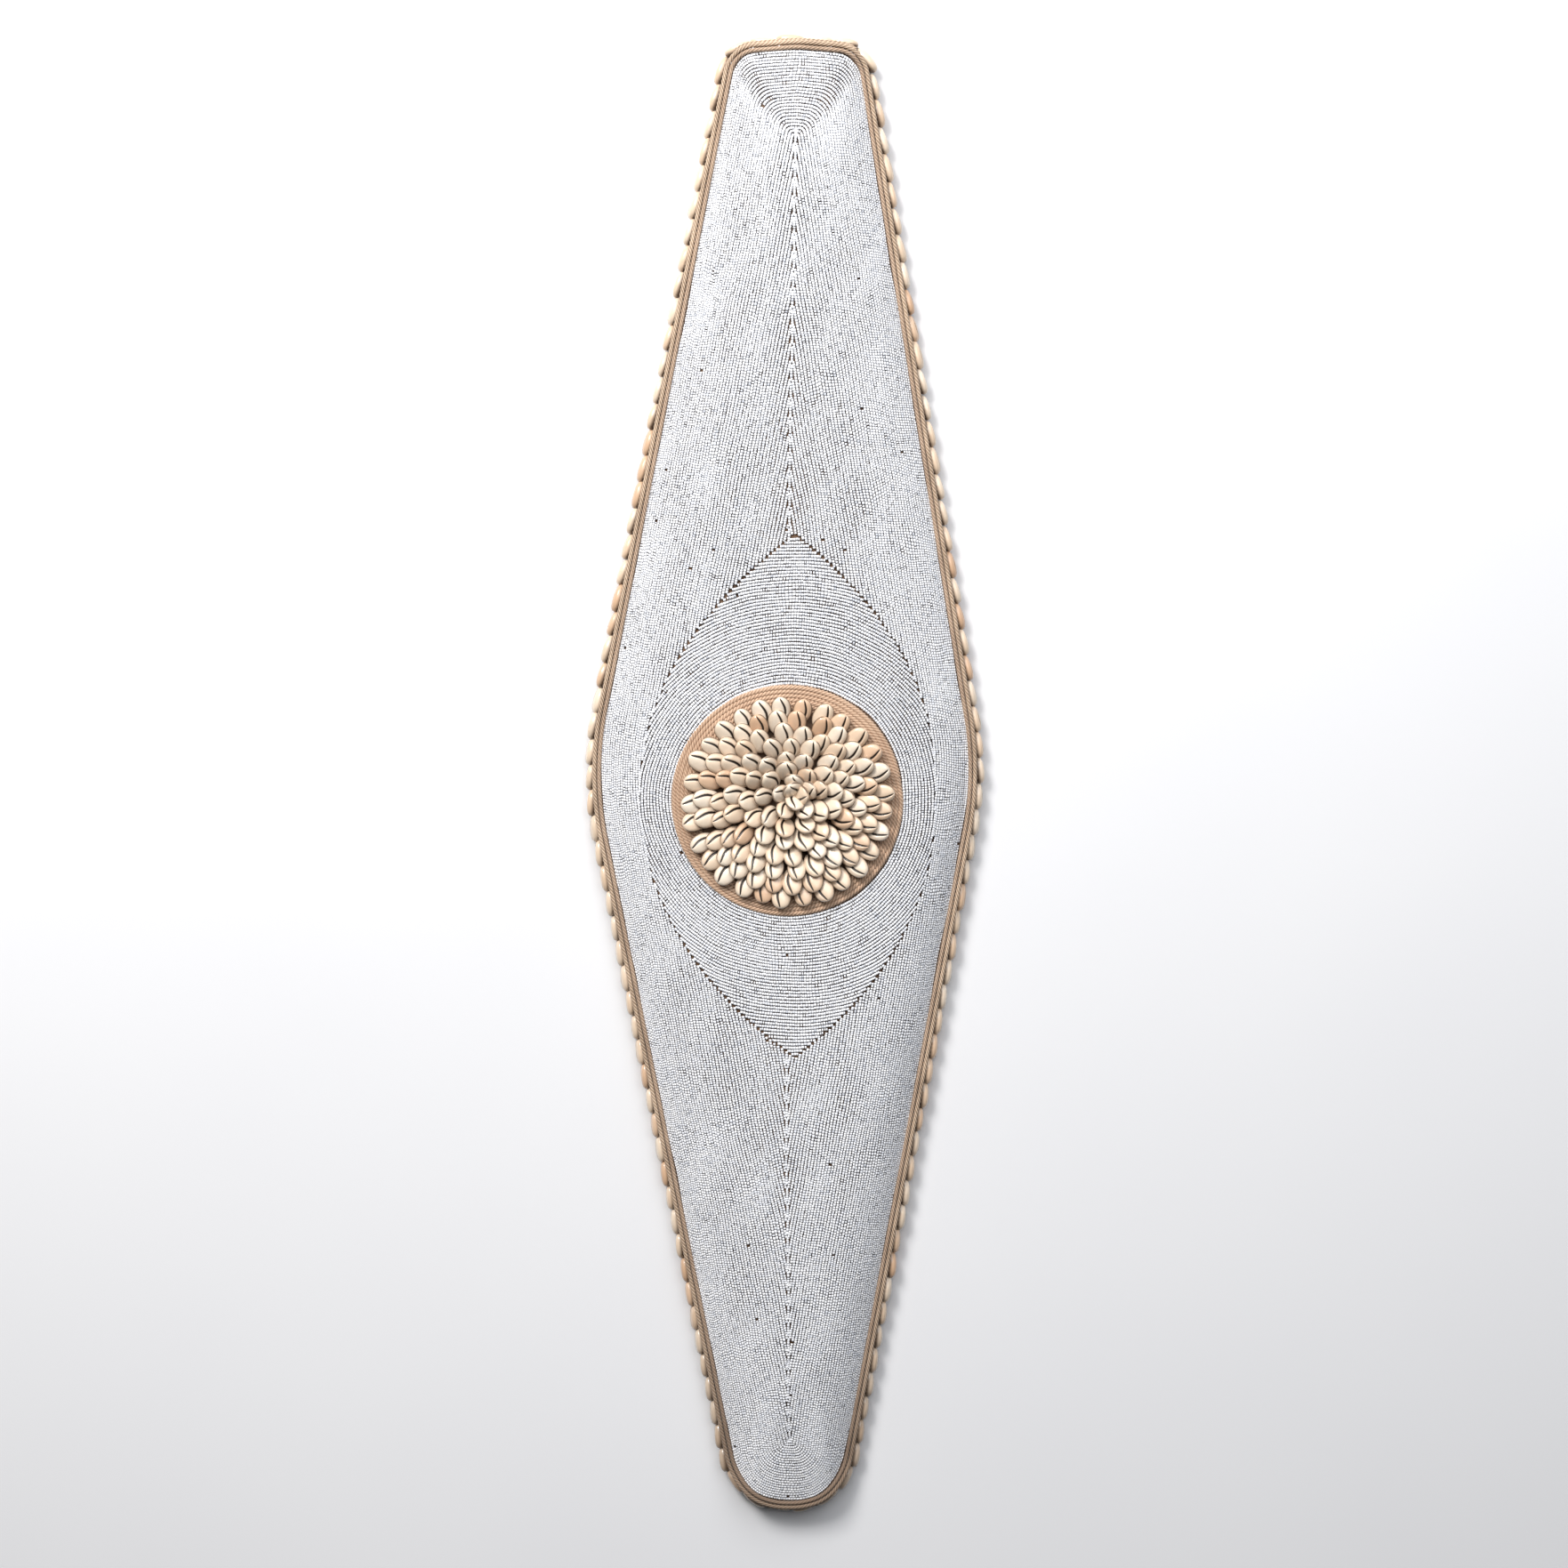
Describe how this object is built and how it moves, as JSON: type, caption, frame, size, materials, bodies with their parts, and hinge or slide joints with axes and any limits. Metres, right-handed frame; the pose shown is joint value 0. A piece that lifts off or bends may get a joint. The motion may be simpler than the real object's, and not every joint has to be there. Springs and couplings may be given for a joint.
{
  "type": "beaded shield",
  "caption": "Long domed wooden shield covered in strings of white glass beads, edged with twisted cord and cowrie shells, with a round shell boss on a coiled cord disc.",
  "frame": {"origin": "middle of the bounding box's underside, on the flat wooden back, with the shield lying face up", "axes": "+Z out of the beaded front, +Y along the shield towards its broad squared end (up in the picture), +X towards the right edge as seen from the front"},
  "size_m": [0.3539, 1.3248, 0.089],
  "materials": {
    "wood": "oiled dark brown, matt",
    "white_beads": "opaque white glass beads, glossy",
    "cord": "twisted tan cord, matt",
    "cowrie": "cream cowrie shell, glossy"
  },
  "bodies": {
    "root": {"shield_body": "wood", "bead_field_long_strings": "white_beads", "bead_field_ring_strings": "white_beads", "edge_cord_inner": "cord", "edge_cord_outer": "cord", "end_cord_top": "cord", "end_cord_bottom": "cord", "edge_cowries_bottom_right": "cowrie", "edge_cowries_right": "cowrie", "edge_cowries_top_right": "cowrie", "edge_cowries_top_left": "cowrie", "edge_cowries_left": "cowrie", "edge_cowries_bottom_left": "cowrie", "centre_cord_disc": "cord", "boss_cowries_ring_1": "cowrie", "boss_cowries_ring_2": "cowrie", "boss_cowries_ring_3": "cowrie", "boss_cowries_ring_4": "cowrie", "boss_cowries_ring_5": "cowrie", "boss_cowries_ring_6": "cowrie", "boss_cowries_ring_7": "cowrie", "boss_cowries_ring_8": "cowrie"}
  },
  "joints": []
}
